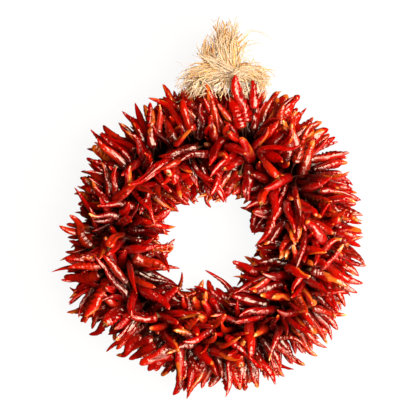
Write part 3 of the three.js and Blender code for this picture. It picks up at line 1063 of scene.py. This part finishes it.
def add_floor():
    """Paper that glows evenly white and only takes shadows. It lights nothing."""
    points = FLOOR_SIDE * np.array([[-1, -1, 0], [1, -1, 0], [1, 1, 0], [-1, 1, 0]])
    floor = new_object("floor", points, [[0, 1, 2, 3]])
    paper = Paint("floor_paper").finish(
        Base_Color=(0.06, 0.06, 0.06),
        Roughness=0.9,
        Specular_IOR_Level=0.0,
        Emission_Color=(1, 1, 1),
        Emission_Strength=0.92,
    )
    floor.data.materials.append(paper)
    floor.visible_glossy = False
    floor.visible_diffuse = False


def add_lamp(name, place, size, watts, colour, in_gloss):
    """A round lamp that is turned to the wreath."""
    light = bpy.data.lights.new(name, "AREA")
    light.shape = "DISK"
    light.size = size
    light.energy = watts
    light.color = colour
    lamp = in_scene(name, light)
    lamp.location = place
    way = np.array(place) - HOOP
    tilt = math.acos(way[2] / np.linalg.norm(way))
    lamp.rotation_euler = (tilt, 0, math.atan2(way[1], way[0]) + math.pi / 2)
    lamp.visible_glossy = in_gloss


def add_world():
    world = bpy.data.worlds.new("studio")
    bpy.context.scene.world = world
    world.use_nodes = True
    background = world.node_tree.nodes["Background"].inputs
    background["Color"].default_value = WORLD_COLOUR
    background["Strength"].default_value = WORLD_STRENGTH


def add_camera():
    """A camera that looks straight down."""
    camera = bpy.data.cameras.new("camera")
    camera.sensor_width = SENSOR_MM
    camera.lens = SENSOR_MM * (CAMERA_HEIGHT - HOOP_HEIGHT) / VIEW_WIDTH
    eye = in_scene("camera", camera)
    middle_x, middle_y = VIEW_MIDDLE_MM
    eye.location = (HOOP[0] + middle_x * MM, HOOP[1] + middle_y * MM, CAMERA_HEIGHT)
    bpy.context.scene.camera = eye


# ---- the whole wreath

REVERSED_PODS = 0.05  # the share of the chillies on top that are turned round
ON_TOP = 0.85  # the sine of the least angle round the section from which a chilli is on top


def show(piece, material, node):
    piece.data.materials.append(material)
    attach(piece, "root")
    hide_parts(node)


def kinds_round(turn):
    """The kind of the pod at each turn, with more plump ones at the top right and bottom left."""
    plump = 0.5 + 0.5 * np.cos(2 * (turn - math.radians(60)))
    weights = np.array([0.4, 0.15, 0.25, 0.2]) + plump[:, None] * [-0.25, 0.25, 0, 0]
    return (rng.random((len(turn), 1)) > np.cumsum(weights, 1)).sum(1).clip(0, len(KINDS) - 1)


def vary_round_ring(pods, turn, outer):
    """Makes pods longer or more faded on some stretches, and brighter or darker red there as painted
    light and shade. outer is 1 outside, -1 in the hole.
    """
    plain = rng.random(len(pods)) < 0.6 - 0.22 * np.cos(turn + math.radians(20))
    pods.tip_fade[plain & (pods.tip_fade > 0.05)] = 0.02
    pods.length *= 1 + along_ring(LONGER, turn)
    # Painted light and shade: outer chillies are made brighter red, and stretches of both sides brighter
    # or darker.
    pods.tone += (0.1 + along_ring(OUTER_PAINTED_LIGHT, turn)) * limit(outer + 0.3)
    pods.tone += along_ring(INNER_PAINTED_LIGHT, turn) * limit(0.3 - outer)
    streaked = rng.random(len(pods)) < along_ring(STREAKED, turn) * limit(outer)
    pods.streak = np.maximum(pods.streak, np.where(streaked, 0.8, 0))


def lay_all(pods, layers, seats):
    """Stem ends and directions of the pods of all four layers before they settle."""
    parts = [pods[which] for which in layers]
    reaches = enumerate(LAYER_REACHES_MM)
    laid = [lay_pods(parts[k], *seats[k], reach_mm, flat=k == BACK_LAYER) for k, reach_mm in reaches]
    laid.append(lay_standing_out(parts[-1]))
    for which, part in zip(layers, parts):
        for key, value in vars(part).items():
            getattr(pods, key)[which] = value
    return [np.concatenate(rows) for rows in zip(*laid)]


def build_chillies():
    """The chillies, their stems and the tangle that these are tied to."""
    seats = [
        even_seats(FRONT_PODS, *FRONT_ARC),
        even_seats(UNDER_PODS, *UNDER_ARC),
        back_seats(BACK_PODS),
    ]
    layer = np.repeat(range(4), [FRONT_PODS, UNDER_PODS, BACK_PODS, len(STANDING_OUT)])
    front, under, back, special = layers = [layer == k for k in range(4)]
    turn, section = (np.concatenate(parts) for parts in zip(*seats))
    elsewhere = np.zeros(len(STANDING_OUT))
    kind_of = np.concatenate([kinds_round(turn), [row[2] for row in STANDING_OUT]])
    pods = Pods(kind_of)
    vary_round_ring(pods, np.append(turn, elsewhere), np.append(np.cos(section), elsewhere))
    pods.length[under] *= UNDER_LENGTH
    pods.tone[under] *= UNDER_PAINTED_SHADE
    stem_ends, ways = lay_all(pods, layers, seats)
    on_top = front & (np.append(np.sin(section), elsewhere) > ON_TOP)
    stem_ends, ways, reversed_pods = turn_round(pods, stem_ends, ways, REVERSED_PODS * on_top)
    stem_ends, axes = settle(pods, stem_ends, ways, special)
    skin, dull_skin = chilli_skin("chilli_skin", 1.0), chilli_skin("chilli_skin_dull", 0.35)
    seen = front | special
    groups = [(name, seen & (kind_of == k), POD_RINGS, POD_SIDES, skin) for k, name in enumerate(KINDS)]
    groups.append(("chillies_under", under, PLAIN_RINGS, PLAIN_SIDES, dull_skin))
    groups.append(("chillies_back", back, PLAIN_RINGS, PLAIN_SIDES, skin))
    for name, which, rings, sides, material in groups:
        piece = make_pods(name, pods[which], stem_ends[which], axes[which], rings, sides)
        show(piece, material, "chilli_ring")
    stems = make_stems("stems", pods, stem_ends, axes, reversed_pods)
    show(stems, stem_straw(), "chilli_ring")
    show(make_core(), tangle_of_stems(), "chilli_ring")


bpy.context.scene.view_settings.view_transform = "Standard"
add_camera()
build_chillies()
show(make_raffia(), raffia_straw(), "raffia_bow")
add_world()
for lamp in LAMPS:
    add_lamp(*lamp)
add_floor()
